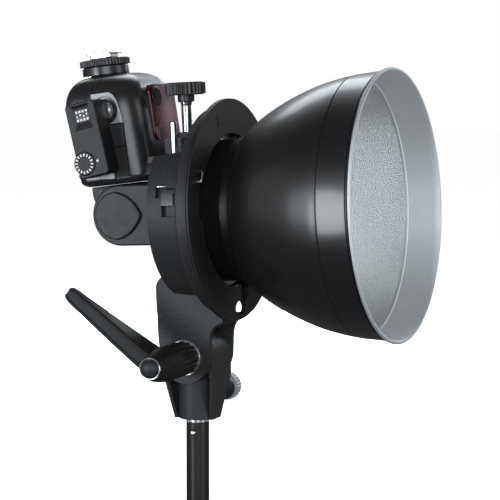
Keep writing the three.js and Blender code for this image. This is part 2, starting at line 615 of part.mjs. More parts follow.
function flashBody(body) {
  const whole = bodyVolume(0);
  const hollow = bodyVolume(2.6);
  const shell = whole.subtract(hollow);
  const frontSide = block(BODY_SEAM + GAP / 2, 60, -60, 60, 0, 120);
  const rearSide = block(-80, BODY_SEAM - GAP / 2, -60, 60, 0, 120);
  const footHole = rod('z', 11, 88, 110, [FOOT_X, 0], 24);
  const baseHole = rod('z', 9, 10, 30, [-8, 0], 24);

  const windowRecess = windowPlate(-2.2, 5, 0.3);
  const portRecess = block(1.3, 12.9, -BODY_HALF_Y - 1, -BODY_HALF_Y + 1.8, 25.4, 62.3);
  const socketHole = rod('y', 4.4, -BODY_HALF_Y - 1, -BODY_HALF_Y + 4, SYNC_AT, 20);
  const dish = rod('y', 9.4, -BODY_HALF_Y - 1, -BODY_HALF_Y + 0.8, SYNC_AT, 28);
  const front = shell.intersect(frontSide)
    .add(block(-8, 14.5, -BODY_HALF_Y + 1.2, -BODY_HALF_Y + 6, 24, 84).intersect(bodyVolume(1)))
    .add(block(17, 30, -20, 26, 44, 90).intersect(bodyVolume(1)))
    .subtract(windowRecess).subtract(portRecess).subtract(socketHole).subtract(dish)
    .subtract(footHole).subtract(baseHole);
  const doorRecess = block(-30.4, -11.6, BODY_HALF_Y - 2.9, BODY_HALF_Y + 1, 27, 79);
  const lcdRecess = block(BODY_BACK - 1, BODY_BACK + 1.6, -24.3, 24.3, 27.7, 56.3);
  let rear = shell.intersect(rearSide).subtract(footHole).subtract(baseHole)
    .subtract(doorRecess)
    .add(block(BODY_BACK + 0.4, BODY_BACK + 5, -25.6, 25.6, 26.6, 57.4).intersect(whole))
    .subtract(lcdRecess)
    .subtract(rod('x', 12.6, BODY_BACK - 1, BODY_BACK + 8, [0, 76], 32));
  BUTTONS.forEach(({ y, z, r }) => {
    rear = rear.subtract(rod('x', r + GAP, BODY_BACK - 1, BODY_BACK + 8, [y, z], 16));
  });
  piece(body, 'flash_body_front', front, satin);
  piece(body, 'flash_body_rear', rear, satin);

  piece(body, 'front_window', windowPlate(-1.9, 0.7, 0), redPanel);
  const side = -BODY_HALF_Y;
  piece(body, 'sync_socket', ring('y', 1.8, 4, side - 0.4, side + 3.6, SYNC_AT, 24), chrome);
  const portCover = (low, high) => slab(
    'y', roundedRect(1.6, 12.6, low, high, 1.2), side - 0.6, side + 1.5, 0.4, 3,
  );
  piece(body, 'port_cover_lower', portCover(25.7, 46.4), rubber);
  piece(body, 'port_cover_upper', portCover(46.8, 62), rubber);
  const display = slab('x', roundedRect(-24, 24, 28, 56, 2), BODY_BACK - 0.2, BODY_BACK + 1.3);
  piece(body, 'lcd_window', display, clear);
  const doorOutline = roundedRect(-30.1, -11.9, 27.3, 78.7, 2);
  piece(body, 'battery_door', slab('y', doorOutline, BODY_HALF_Y - 2.6, BODY_HALF_Y + 0.4, 0.4, 3), satin);
  piece(body, 'battery_pack', slab('x', roundedRect(7, 33.6, 31, 77, 3), -22.8, -10.4, 0, 3), plastic);
  piece(body, 'flash_capacitor', rod('z', 9.5, 30, 78, [5, -18], 24), satin);
}

const SYNC_AT = [0, 72];

// Round keys on the back panel, in the frame of the flash body.
const BUTTONS = [
  { name: 'power_button', y: -22, z: 78, r: 3 },
  { name: 'test_button', y: 22, z: 78, r: 3 },
  { name: 'mode_button', y: -20, z: 62, r: 2.6 },
];

function backControls(body) {
  BUTTONS.forEach(({ name, y, z, r }) => {
    const key = turned('x', [
      [0, BODY_BACK - 1.6], [r - 0.5, BODY_BACK - 1.6], [r, BODY_BACK - 1],
      [r, BODY_BACK + 3.4], [0, BODY_BACK + 3.4],
    ], [y, z], 16);
    piece(body, name, key, rubber);
  });
  const dial = slab('x', fluted(12.2, 0.8, 20, 2, [0, 76]), BODY_BACK - 1.8, BODY_BACK + 3)
    .subtract(rod('x', 6.6, BODY_BACK - 3, BODY_BACK + 5, [0, 76], 24));
  piece(body, 'select_dial', dial, plastic);
  const middleKey = turned('x', [
    [0, BODY_BACK - 1.2], [5.6, BODY_BACK - 1.2], [6.2, BODY_BACK - 0.6],
    [6.2, BODY_BACK + 3], [0, BODY_BACK + 3],
  ], [0, 76], 24);
  piece(body, 'set_button', middleKey, satin);
}

function foot(body) {
  const neck = turned('z', [
    [0, 88.6], [10.6, 88.6], [10.6, BODY_TOP + GAP], [16.2, BODY_TOP + GAP],
    [16, 103.2], [10, 103.2], [10, 109.4], [0, 109.4],
  ], [FOOT_X, 0], 36);
  const shoeHalf = 9.3;
  const shoe = block(FOOT_X - shoeHalf, FOOT_X + shoeHalf, -shoeHalf, shoeHalf, 111, 113.2)
    .add(rod('z', 6, 109.7, 111.5, [FOOT_X, 0], 24));
  const pinPlaces = [[0, 0], [-5, 4], [-5, -4], [5, 4], [5, -4]];
  const pins = pinPlaces.map(([x, y]) => rod('z', 0.9, 113, 113.9, [FOOT_X + x, y], 10));
  piece(body, 'foot_neck', neck, satin);
  const plate = pins.reduce((sum, pin) => sum.add(pin), shoe);
  piece(body, 'shoe_plate', plate, steel);
  const lockRing = slab('z', fluted(17.4, 0.8, 24, 2, [FOOT_X, 0]), 103.6, 108.4)
    .subtract(rod('z', 10.3, 100, 112, [FOOT_X, 0], 24));
  piece(body, 'foot_lock_ring', lockRing, plastic);
}

// ---- Plug-in radio receiver on the near side ------------------------------------------------------
function receiver(unit) {
  const caseShape = slab('y', roundedRect(-11.25, 11.25, -25.5, 25.5, 2.4), -56, -40, 0.9, 3);
  const plug = slab('y', roundedRect(-5, 5, -4, 4, 1), -40.5, -BODY_HALF_Y - 1, 0, 3);
  const dialHole = rod('y', 8.2, -60, -51.4, [-5.4, -15.6], 32);
  const windowHole = slab('y', roundedRect(-8.2, 8.2, 8, 24, 1.4), -60, -54.2, 0, 3);
  piece(unit, 'receiver_case', caseShape.add(plug).subtract(dialHole).subtract(windowHole), plastic);
  const windowOutline = roundedRect(-7.9, 7.9, 8.3, 23.7, 1.2);
  piece(unit, 'receiver_window', slab('y', windowOutline, -55.6, -54.5, 0, 3), clear);
  piece(unit, 'receiver_dial', slab('y', fluted(7.9, 0.6, 20, 2, [-5.4, -15.6]), -56.8, -51.8), plastic);
}

// ---- Assembly --------------------------------------------------------------------------------------
standTube();
const pivot = frameGroup(object, 0, PIVOT_Z, 0);
socketHousing(pivot);
tiltLever(pivot);

const head = frameGroup(object, 0, PIVOT_Z, HEAD_TILT);
tiltJoint(head);
bracketFrame(head);
mountRing(head);
releaseLever(head);
clamp(head);
reflector(head);
flashHead(head);
zoomCarriage(head);

const body = frameGroup(head, HINGE_X, AXIS_Z, BODY_LEAN);
flashYoke(body);
flashBody(body);
backControls(body);
foot(body);
const receiverUnit = frameGroup(body, -7.1, 53.9, rad(6.5));
receiver(receiverUnit);

export default object;
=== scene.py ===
import math

import bmesh
import bpy
from mathutils import Matrix, Vector


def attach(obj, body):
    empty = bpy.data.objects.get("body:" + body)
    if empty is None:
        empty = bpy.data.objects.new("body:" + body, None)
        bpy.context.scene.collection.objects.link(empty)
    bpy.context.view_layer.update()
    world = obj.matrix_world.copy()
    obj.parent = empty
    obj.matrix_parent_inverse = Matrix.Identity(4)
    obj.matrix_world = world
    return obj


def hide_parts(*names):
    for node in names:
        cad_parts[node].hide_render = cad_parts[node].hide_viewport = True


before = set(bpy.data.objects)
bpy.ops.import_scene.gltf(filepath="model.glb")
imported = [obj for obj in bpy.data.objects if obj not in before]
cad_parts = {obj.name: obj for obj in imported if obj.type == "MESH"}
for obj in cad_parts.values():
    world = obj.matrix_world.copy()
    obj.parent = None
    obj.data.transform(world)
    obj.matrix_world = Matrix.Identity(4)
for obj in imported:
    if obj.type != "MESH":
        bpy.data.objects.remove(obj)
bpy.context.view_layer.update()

MM = 0.001
scene = bpy.context.scene
scene.view_settings.view_transform = "Standard"

# ---- Frames, all drawings below are in millimetres in one of these ---------------------------------

PIVOT_Z = 106       # the tilt joint's axis above the floor
AXIS_Z = 99.2       # the reflector's axis above the tilt joint's
HEAD_LEAN = 3
BODY_LEAN = 4.5
RECEIVER_LEAN = 6.5


def lean(x, z, degrees):
    """A frame moved to (x, 0, z) mm and leaned back by some degrees."""
    return Matrix.Translation((x * MM, 0, z * MM)) @ Matrix.Rotation(math.radians(-degrees), 4, "Y")


ROW = Matrix.Identity(4)
PIVOT = lean(0, PIVOT_Z, 0)
HEAD = lean(0, PIVOT_Z, HEAD_LEAN)
BODY = HEAD @ lean(-37, AXIS_Z, BODY_LEAN)
RECEIVER = BODY @ lean(-7.1, 53.9, RECEIVER_LEAN)


# ---- Materials -------------------------------------------------------------------------------------


class Recipe:
    """A Principled material built from object-space noise."""

    def __init__(self, name, colour, rough, metal=0.0, specular=0.5):
        self.material = bpy.data.materials.new(name)
        self.material.use_nodes = True
        self.nodes = self.material.node_tree.nodes
        self.links = self.material.node_tree.links
        self.shader = self.nodes["Principled BSDF"]
        self.shader.inputs["Base Color"].default_value = (*colour, 1)
        self.shader.inputs["Roughness"].default_value = rough
        self.shader.inputs["Metallic"].default_value = metal
        self.shader.inputs["Specular IOR Level"].default_value = specular
        self.colour = colour
        self.rough = rough
        self.place = self.nodes.new("ShaderNodeTexCoord").outputs["Object"]

    def noise(self, size_mm, detail=3.0, stretch=(1, 1, 1)):
        """Fractal noise whose features are about size_mm across."""
        noise = self.nodes.new("ShaderNodeTexNoise")
        noise.inputs["Scale"].default_value = 1 / (size_mm * MM)
        noise.inputs["Detail"].default_value = detail
        mapping = self.nodes.new("ShaderNodeMapping")
        mapping.inputs["Scale"].default_value = stretch
        self.links.new(self.place, mapping.inputs["Vector"])
        self.links.new(mapping.outputs["Vector"], noise.inputs["Vector"])
        return noise.outputs["Fac"]

    def cells(self, size_mm, smooth):
        """Rounded cells, as in hammered metal."""
        cells = self.nodes.new("ShaderNodeTexVoronoi")
        cells.feature = "SMOOTH_F1"
        cells.inputs["Scale"].default_value = 1 / (size_mm * MM)
        cells.inputs["Smoothness"].default_value = smooth
        self.links.new(self.place, cells.inputs["Vector"])
        return cells.outputs["Distance"]

    def spread(self, source, low, high, start=0.3, end=0.7):
        """source, remapped from its middle range to low..high."""
        ramp = self.nodes.new("ShaderNodeMapRange")
        ramp.inputs["From Min"].default_value = start
        ramp.inputs["From Max"].default_value = end
        ramp.inputs["To Min"].default_value = low
        ramp.inputs["To Max"].default_value = high
        self.links.new(source, ramp.inputs["Value"])
        return ramp.outputs["Result"]

    def vary_colour(self, source, darker, lighter):
        """Base colour runs between two multiples of the material's own colour."""
        mix = self.nodes.new("ShaderNodeMix")
        mix.data_type = "RGBA"
        mix.inputs["A"].default_value = (*[c * darker for c in self.colour], 1)
        mix.inputs["B"].default_value = (*[min(1, c * lighter) for c in self.colour], 1)
        self.links.new(self.spread(source, 0, 1), mix.inputs["Factor"])
        self.links.new(mix.outputs["Result"], self.shader.inputs["Base Color"])

    def vary_rough(self, source, amount):
        """Roughness runs that amount to either side of the material's own."""
        low, high = max(0.02, self.rough - amount), min(1, self.rough + amount)
        self.links.new(self.spread(source, low, high), self.shader.inputs["Roughness"])

    def bump(self, source, depth_mm):
        """Relief of some depth, on top of any that is there already."""
        bump = self.nodes.new("ShaderNodeBump")
        bump.inputs["Strength"].default_value = 1.0
        bump.inputs["Distance"].default_value = depth_mm * MM
        self.links.new(source, bump.inputs["Height"])
        previous = self.shader.inputs["Normal"].links
        if previous:
            self.links.new(previous[0].from_socket, bump.inputs["Normal"])
        self.links.new(bump.outputs["Normal"], self.shader.inputs["Normal"])


def plastic(name, colour, rough, grain_mm, depth_mm, specular=0.5, speckle=None):
    """Plastic, rubber or paint with a fine grain, whose colour varies with the grain by the speckle."""
    recipe = Recipe(name, colour, rough, specular=specular)
    if speckle:
        recipe.vary_colour(recipe.noise(grain_mm, 3), 1 - speckle, 1 + speckle)
    else:
        recipe.vary_colour(recipe.noise(9, 2), 0.88, 1.15)
    recipe.vary_rough(recipe.noise(4, 4), 0.025)
    recipe.bump(recipe.noise(grain_mm, 2), depth_mm)
    return recipe


def metal(name, colour, rough, stretch=(1, 1, 1), depth_mm=0.004):
    """Bare or plated metal with fine machining streaks."""
    recipe = Recipe(name, colour, rough, metal=1.0)
    streaks = recipe.noise(0.5, 3, stretch)
    recipe.vary_rough(streaks, 0.07)
    recipe.vary_colour(recipe.noise(3, 3), 0.82, 1.1)
    recipe.bump(streaks, depth_mm)
    return recipe


grained = plastic(
    "grained_plastic", (0.022, 0.0235, 0.025), 0.48, 0.7, 0.14, specular=0.32, speckle=0.5,
).material
flash_black = plastic("flash_plastic", (0.014, 0.0145, 0.016), 0.3, 0.22, 0.01).material
flash_matte = plastic("flash_head_plastic", (0.018, 0.019, 0.0205), 0.46, 0.4, 0.05, specular=0.3).material
receiver_black = plastic("receiver_plastic", (0.009, 0.0095, 0.0105), 0.44, 0.3, 0.03, specular=0.24).material
rubber = plastic("rubber", (0.022, 0.024, 0.025), 0.7, 0.5, 0.03, specular=0.3).material
satin = plastic("satin_paint", (0.009, 0.009, 0.01), 0.38, 0.4, 0.012, specular=0.35).material
ring_paint = plastic("ring_paint", (0.018, 0.0185, 0.02), 0.48, 0.7, 0.1, specular=0.26, speckle=0.5).material
ribbed = plastic("ribbed_plastic", (0.012, 0.012, 0.013), 0.4, 0.3, 0.02, specular=0.4).material
tab_plastic = plastic("tab_plastic", (0.018, 0.0185, 0.02), 0.38, 0.3, 0.02).material
switch_plastic = plastic("switch_plastic", (0.02, 0.021, 0.023), 0.3, 0.3, 0.01, specular=0.15).material
lever_plastic = plastic("lever_plastic", (0.01, 0.0105, 0.0115), 0.5, 0.4, 0.05, specular=0.22).material
pale_plastic = plastic("pale_plastic", (0.34, 0.345, 0.355), 0.42, 0.3, 0.02).material
capacitor_sleeve = plastic("capacitor_sleeve", (0.02, 0.03, 0.06), 0.3, 0.6, 0.01).material

bowl_recipe = Recipe("reflector_paint", (0.006, 0.006, 0.007), 0.36)
bowl_recipe.vary_colour(bowl_recipe.noise(25, 2), 0.92, 1.08)
bowl_recipe.vary_rough(bowl_recipe.noise(1.2, 3), 0.02)
bowl_recipe.bump(bowl_recipe.noise(1.6, 2), 0.003)
bowl_recipe.shader.inputs["Coat Weight"].default_value = 0.25
bowl_recipe.shader.inputs["Coat Roughness"].default_value = 0.15
bowl_paint = bowl_recipe.material

steel = metal("steel", (0.5, 0.51, 0.52), 0.32, (1, 1, 5)).material
bright_steel = metal("bright_steel", (0.6, 0.6, 0.61), 0.34, (5, 1, 1)).material
chrome = metal("chrome", (0.66, 0.67, 0.7), 0.2, depth_mm=0.001).material
brass = metal("brass", (0.72, 0.5, 0.24), 0.3).material
rivet_metal = metal("rivet_metal", (0.8, 0.74, 0.6), 0.36).material

tube_glass = Recipe("glass_tube", (0.85, 0.87, 0.85), 0.05)
tube_glass.shader.inputs["Transmission Weight"].default_value = 0.8
tube_glass.vary_rough(tube_glass.noise(2), 0.03)

hammered_recipe = Recipe("hammered_aluminium", (0.84, 0.85, 0.855), 0.38, metal=1.0)
hammered_recipe.bump(hammered_recipe.cells(0.8, 0.3), 0.7)
hammered_recipe.bump(hammered_recipe.noise(0.5, 2), 0.03)
hammered_recipe.vary_colour(hammered_recipe.noise(0.9, 2), 0.76, 1.06)
hammered = hammered_recipe.material
rolled_recipe = Recipe("rolled_aluminium", (0.68, 0.692, 0.7), 0.68, metal=1.0)
rolled_recipe.vary_rough(rolled_recipe.noise(1.2, 3), 0.06)
rolled_recipe.bump(rolled_recipe.noise(0.5, 2), 0.01)
rolled = rolled_recipe.material

clear = Recipe("clear_plastic", (0.03, 0.031, 0.033), 0.08)
clear.vary_rough(clear.noise(3), 0.03)
clear_plastic = clear.material
fresnel = Recipe("fresnel_lens", (0.62, 0.64, 0.64), 0.18)
fresnel.bump(fresnel.noise(1.2, 1, (1, 0.02, 3)), 0.2)
fresnel.vary_rough(fresnel.noise(2), 0.05)
lens_plastic = fresnel.material
display_recipe = Recipe("display", (0.1, 0.115, 0.1), 0.14)
display_recipe.vary_colour(display_recipe.noise(12, 1), 0.85, 1.15)
display = display_recipe.material
red_recipe = Recipe("red_panel", (0.085, 0.004, 0.008), 0.1)
red_recipe.vary_colour(red_recipe.noise(14, 1), 0.5, 1.4)
red_recipe.vary_rough(red_recipe.noise(4), 0.03)
red_panel = red_recipe.material
mark_recipe = Recipe("white_mark", (0.8, 0.8, 0.8), 0.6)
mark_recipe.vary_colour(mark_recipe.noise(0.4, 2), 0.88, 1.1)
white_mark = mark_recipe.material


# ---- Shapes ----------------------------------------------------------------------------------------

SHARP_DEGREES = 32      # faces that meet at more than this have an edge between them
FLAT_DEGREES = 0.3      # CAD faces that meet at less than this are one face
FACE_WEIGHT = 80        # how strongly large faces set the shading of the edges beside them
SAME_POINT = 1e-6       # metres between points that are one
CURVE_STEPS = 6         # steps of a curve from one of its given points to the next


def make(name, verts, faces, place=ROW):
    """A mesh object at the origin, its vertices given in millimetres in the place's frame."""
    mesh = bpy.data.meshes.new(name)
    mesh.from_pydata([place @ (Vector(v) * MM) for v in verts], [], faces)
    obj = bpy.data.objects.new(name, mesh)
    scene.collection.objects.link(obj)
    work = bmesh.new()
    work.from_mesh(mesh)
    bmesh.ops.remove_doubles(work, verts=work.verts, dist=SAME_POINT)
    bmesh.ops.recalc_face_normals(work, faces=work.faces)
    work.to_mesh(mesh)
    work.free()
    mesh.polygons.foreach_set("use_smooth", [True] * len(mesh.polygons))
    mesh.set_sharp_from_angle(angle=math.radians(SHARP_DEGREES))
    return obj


def modifier(obj, kind, **settings):
    """Adds a modifier and sets it up."""
    added = obj.modifiers.new(kind.lower(), kind)
    for key, value in settings.items():
        setattr(added, key, value)


def rounding(obj, width_mm, segments, angle):
    """The modifiers that round every edge sharper than the angle."""
    modifier(
        obj, "BEVEL", width=width_mm * MM, segments=segments, limit_method="ANGLE",
        angle_limit=math.radians(angle), use_clamp_overlap=True, miter_outer="MITER_ARC",
    )
    modifier(obj, "WEIGHTED_NORMAL", keep_sharp=False, weight=FACE_WEIGHT)


def bevel(obj, width_mm, segments=2, angle=40):
    """Rounds a made piece's edges, with no edge left sharp in its own mesh."""
    rounding(obj, width_mm, segments, angle)
    obj.data.set_sharp_from_angle(angle=math.pi)


def shaded(obj):
    """Smooth faces with crisp edges where two of them meet sharply."""
    obj.data.polygons.foreach_set("use_smooth", [True] * len(obj.data.polygons))
    obj.data.set_sharp_from_angle(angle=math.radians(SHARP_DEGREES))
    modifier(obj, "WEIGHTED_NORMAL", keep_sharp=True, weight=FACE_WEIGHT)
    return obj


def apply_modifiers(obj):
    """Replaces the mesh by what its modifiers make of it."""
    evaluated = obj.evaluated_get(bpy.context.evaluated_depsgraph_get())
    mesh = bpy.data.meshes.new_from_object(evaluated)
    obj.modifiers.clear()
    obj.data = mesh


def spun(axis, profile, sides, place, at):
    """A closed profile of (radius, distance) turned about an axis."""
    verts = []
    for k in range(sides):
        turn = 2 * math.pi * k / sides
        for radius, distance in profile:
            u = at[0] + radius * math.cos(turn)
            v = at[1] + radius * math.sin(turn)
            verts.append({"x": (distance, u, v), "y": (u, distance, v), "z": (u, v, distance)}[axis])
    rows = len(profile)
    faces = []
    for k in range(sides):
        after = (k + 1) % sides
        for i in range(rows):
            j = (i + 1) % rows
            faces.append((k * rows + i, k * rows + j, after * rows + j, after * rows + i))
    return make("spun", verts, faces, place)


def slab_faces(count):
    """The faces of a solid between two outlines of count points each."""
    faces = [tuple(range(count)), tuple(range(count, 2 * count))]
    faces += [(i, (i + 1) % count, count + (i + 1) % count, count + i) for i in range(count)]
    return faces


def loft(name, rings, place):
    """A solid through rings of points, closed by its first and last ring."""
    count = len(rings[0])
    verts = [point for ring in rings for point in ring]
    faces = [tuple(range(count)), tuple((len(rings) - 1) * count + i for i in range(count))]
    for row in range(len(rings) - 1):
        for i in range(count):
            j = (i + 1) % count
            faces.append((row * count + i, row * count + j, (row + 1) * count + j, (row + 1) * count + i))
    return make(name, verts, faces, place)


def prism(facing, outline, low, high, place, name="prism"):
    """An outline of two coordinates, drawn square to the facing axis and given a thickness."""
    order = {"x": lambda a, b, c: (c, a, b), "y": lambda a, b, c: (a, c, b), "z": lambda a, b, c: (a, b, c)}
    verts = [order[facing](a, b, level) for level in (low, high) for a, b in outline]
    return make(name, verts, slab_faces(len(outline)), place)


def block(x0, x1, y0, y1, z0, z1):
    """A box in the flash body's frame, for cutting with."""
    return prism("z", [(x0, y0), (x1, y0), (x1, y1), (x0, y1)], z0, z1, BODY, "block")


def disc(axis, radius, low, high, at, place=BODY, sides=48):
    """A round rod, for cutting with."""
    turns = [2 * math.pi * k / sides for k in range(sides)]
    outline = [(at[0] + radius * math.cos(turn), at[1] + radius * math.sin(turn)) for turn in turns]
    return prism(axis, outline, low, high, place, "disc")


def arc(centre, radius, start, end, steps):
    """Points on a circle from one angle to another, in degrees."""
    turns = [math.radians(start + (end - start) * i / steps) for i in range(steps + 1)]
    return [(centre[0] + radius * math.cos(t), centre[1] + radius * math.sin(t)) for t in turns]


def round_box(a0, a1, b0, b1, radius, steps=6):
    """A rectangle with rounded corners."""
    points = arc((a1 - radius, b1 - radius), radius, 0, 90, steps)
    points += arc((a0 + radius, b1 - radius), radius, 90, 180, steps)
    points += arc((a0 + radius, b0 + radius), radius, 180, 270, steps)
    points += arc((a1 - radius, b0 + radius), radius, 270, 360, steps)
    return points


def flutes(radius, depth, count, centre, steps=10, power=1.0):
    """The outline of a fluted knob."""
    points = []
    for k in range(count * steps):
        turn = 2 * math.pi * k / (count * steps)
        swell = (0.5 + 0.5 * math.cos(turn * count)) ** power
        reach = radius - depth * (1 - swell)
        points.append((centre[0] + reach * math.cos(turn), centre[1] + reach * math.sin(turn)))
    return points


def curved(points):
    """A Catmull-Rom curve through points."""
    ends = [points[0], *points, points[-1]]
    out = []
    for k in range(len(points) - 1):
        p0, p1, p2, p3 = (Vector(ends[k + i]) for i in range(4))
        for i in range(CURVE_STEPS):
            t = i / CURVE_STEPS
            out.append(tuple(0.5 * (
                2 * p1 + (p2 - p0) * t + (2 * p0 - 5 * p1 + 4 * p2 - p3) * t ** 2
                + (3 * p1 - p0 - 3 * p2 + p3) * t ** 3
            )))
    out.append(tuple(points[-1]))
    return out


def joined(name, parts):
    """Several objects as one piece."""
    bpy.context.view_layer.update()
    work = bmesh.new()
    for part in parts:
        apply_modifiers(part)
        work.from_mesh(part.data)
        bpy.data.objects.remove(part)
    mesh = bpy.data.meshes.new(name)
    work.to_mesh(mesh)
    work.free()
    obj = bpy.data.objects.new(name, mesh)
    scene.collection.objects.link(obj)
    return shaded(obj)


def cut(obj, *tools):
    """Takes tools away from a piece."""
    for tool in tools:
        modifier(obj, "BOOLEAN", operation="DIFFERENCE", object=tool, solver="EXACT")
    bpy.context.view_layer.update()
    apply_modifiers(obj)
    for tool in tools:
        bpy.data.objects.remove(tool)


def piece(obj, name, body, slot, material, *stands_for):
    """Names and paints a piece, and makes it ride on its body in place of CAD nodes."""
    obj.name = name
    obj.data.materials.clear()
    obj.data.materials.append(material)
    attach(obj, body)
    if stands_for:
        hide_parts(*stands_for)


def kept(material, width_mm, *names):
    """CAD nodes that stay: rounded edges, smooth curved faces, a better material."""
    for name in names:
        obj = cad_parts[name]
        mesh = obj.data
        mesh.materials.clear()
        mesh.materials.append(material)
        mesh.polygons.foreach_set("use_smooth", [True] * len(mesh.polygons))
        modifier(obj, "WELD", merge_threshold=2 * SAME_POINT)
        modifier(obj, "DECIMATE", decimate_type="DISSOLVE", angle_limit=math.radians(FLAT_DEGREES))
        rounding(obj, width_mm, 2, SHARP_DEGREES)


# ---- Camera, light and floor -----------------------------------------------------------------------

FOCAL_LENGTH = 155.7
SENSOR_WIDTH = 36
AZIMUTH = math.radians(23.04)
RISE = math.radians(5.52)
CAMERA_PLACE = (0.6143, -1.3516, 0.3215)
camera = bpy.data.objects.new("camera", bpy.data.cameras.new("camera"))
scene.collection.objects.link(camera)
scene.camera = camera
camera.data.lens = FOCAL_LENGTH
camera.data.sensor_width = SENSOR_WIDTH
towards_camera = Vector(
    (math.sin(AZIMUTH) * math.cos(RISE), -math.cos(AZIMUTH) * math.cos(RISE), math.sin(RISE))
)
camera.location = CAMERA_PLACE
camera.rotation_mode = "QUATERNION"
camera.rotation_quaternion = (-towards_camera).to_track_quat("-Z", "Y")

LAMP_COLOUR = (0.88, 0.95, 1.0)
CENTRE = (0.04, 0, 0.2)
SKY_LIGHT = 0.09
BACKDROP_LIGHT = 1.0
FLOOR_GLOW = 0.9
FLOOR = 6000


def softbox(name, place, width, height, watts):
    """An oval area light aimed at the object's middle."""
    data = bpy.data.lights.new(name, "AREA")
    data.shape = "ELLIPSE"
    data.color = LAMP_COLOUR
    data.size, data.size_y, data.energy = width, height, watts
    lamp = bpy.data.objects.new(name, data)
    scene.collection.objects.link(lamp)
    lamp.visible_camera = False
    lamp.location = place
    lamp.rotation_mode = "QUATERNION"
    lamp.rotation_quaternion = (Vector(CENTRE) - Vector(place)).to_track_quat("-Z", "Y")


softbox("main", (-1.08, -1.15, 0.26), 0.3, 0.8, 1.8)
softbox("broad", (-1.5, -0.6, 0.45), 0.9, 1.1, 1)
softbox("side", (-0.7, -1.4, 0.16), 0.4, 1.0, 19)
softbox("fill", (1.0, -2.0, 0.55), 1.6, 1.1, 27)
softbox("top", (-0.5, 1.0, 1.1), 1.2, 0.5, 8)
softbox("rim", (0.2, 1.4, 0.7), 1.2, 0.4, 7)
softbox("low", (-0.45, 1.0, 0.06), 1.0, 0.1, 4)
softbox("front", (1.8, 0.2, 0.6), 0.8, 0.9, 6)
softbox("right", (1.5, -0.3, 0.14), 0.4, 0.25, 7)

world = bpy.data.worlds.new("studio")
scene.world = world
world.use_nodes = True
sky = world.node_tree.nodes["Background"]
sky.inputs["Color"].default_value = (1, 1, 1, 1)
sky.inputs["Strength"].default_value = SKY_LIGHT
bright = world.node_tree.nodes.new("ShaderNodeBackground")
bright.inputs["Color"].default_value = (1, 1, 1, 1)
bright.inputs["Strength"].default_value = BACKDROP_LIGHT
light_path = world.node_tree.nodes.new("ShaderNodeLightPath")
choose = world.node_tree.nodes.new("ShaderNodeMixShader")
links = world.node_tree.links
links.new(light_path.outputs["Is Camera Ray"], choose.inputs["Fac"])
links.new(sky.outputs["Background"], choose.inputs[1])
links.new(bright.outputs["Background"], choose.inputs[2])
links.new(choose.outputs["Shader"], world.node_tree.nodes["World Output"].inputs["Surface"])

floor_material = Recipe("floor", (0.9, 0.9, 0.9), 0.7)
floor_material.vary_rough(floor_material.noise(30), 0.05)
floor_material.shader.inputs["Emission Color"].default_value = (1, 1, 1, 1)
floor_material.shader.inputs["Emission Strength"].default_value = FLOOR_GLOW
floor_corners = [(-FLOOR, -FLOOR, 0), (FLOOR, -FLOOR, 0), (FLOOR, FLOOR, 0), (-FLOOR, FLOOR, 0)]
floor = make("floor", floor_corners, [(0, 1, 2, 3)])
floor.data.materials.append(floor_material.material)
floor.visible_diffuse = False
floor.visible_glossy = False

# ---- CAD pieces that stay --------------------------------------------------------------------------

kept(grained, 0.5, "bracket_frame", "socket_housing")
kept(satin, 0.25, "stand_tube", "pressure_plate")
kept(ring_paint, 0.25, "mount_ring", "ring_screw_1", "ring_screw_2", "ring_screw_3")
kept(flash_black, 0.35, "battery_door")
kept(flash_matte, 0.35, "flash_head_shell", "flash_yoke")
kept(flash_matte, 0.5, "hinge_cap_near", "hinge_cap_far", "set_button", "lever_cap_screw")
kept(flash_black, 0.4, "foot_neck")
kept(rubber, 0.3, "port_cover_lower", "port_cover_upper", "power_button", "test_button", "mode_button")
kept(rubber, 0.3, "cradle_pad", "pressure_pad", "friction_washer_near", "friction_washer_far")
kept(steel, 0.2, "stand_spigot", "stand_lock_screw", "tilt_bolt", "tilt_nut")
kept(steel, 0.2, "umbrella_screw", "lock_staple", "reflector_bayonet")
kept(bright_steel, 0.2, "lever_washer")
kept(chrome, 0.2, "guide_pin_near", "guide_pin_far")
kept(brass, 0.2, "clamp_nut", "lever_insert")
kept(rivet_metal, 0.2, "spigot_rivet")
kept(rolled, 0.2, "zoom_mirror")
kept(tube_glass.material, 0.2, "flash_tube")
kept(lens_plastic, 0.2, "head_lens")
kept(display, 0.2, "lcd_window")
kept(grained, 0.3, "battery_pack", "select_dial")
kept(capacitor_sleeve, 0.4, "flash_capacitor")

# ---- Bowl reflector --------------------------------------------------------------------------------

SIDES = 160
AXIS = (0, AXIS_Z)
bowl_curve = curved([
    (52.4, 50.7), (56, 53), (61.4, 60), (66.6, 68), (72.4, 78.6), (78, 91), (82.9, 104.6), (86.2, 118),
    (87.5, 125.6),
])
crease = [(87.62, 126.3), (87.25, 126.7), (87.25, 127.1), (87.95, 127.5)]
skirt = [(88.4, 132), (89, 139), (89.6, 144), (90, 147)]
lining_curve = curved([
    (84.6, 118), (81.3, 104.6), (76.4, 91), (70.8, 78.8), (65, 68.6), (59.8, 61), (54.4, 54.4), (50.6, 51.8),
])
WALL = 0.7
outer_wall = [
    (47.8, 24), (48.5, 24), (48.5, 42.6), (48.7, 43.2), (49.6, 43.3), (50, 43.8), (50, 49.2), (50.3, 49.8),
    *bowl_curve, *crease, *skirt, (89.5, 147.5), (89.5, 148), (90.6, 148.5), (91, 149.3), (90, 149.5),
]
between = [(r - WALL, x + 0.35) for r, x in reversed([*bowl_curve, (87.9, 127.3), *skirt])]
shell = spun("x", [*outer_wall, (89.2, 149), *between, (49, 50.6), (47.8, 50)], SIDES, HEAD, AXIS)
piece(shell, "reflector_bowl", "reflector", "reflector_paint", bowl_paint, "reflector_shell")

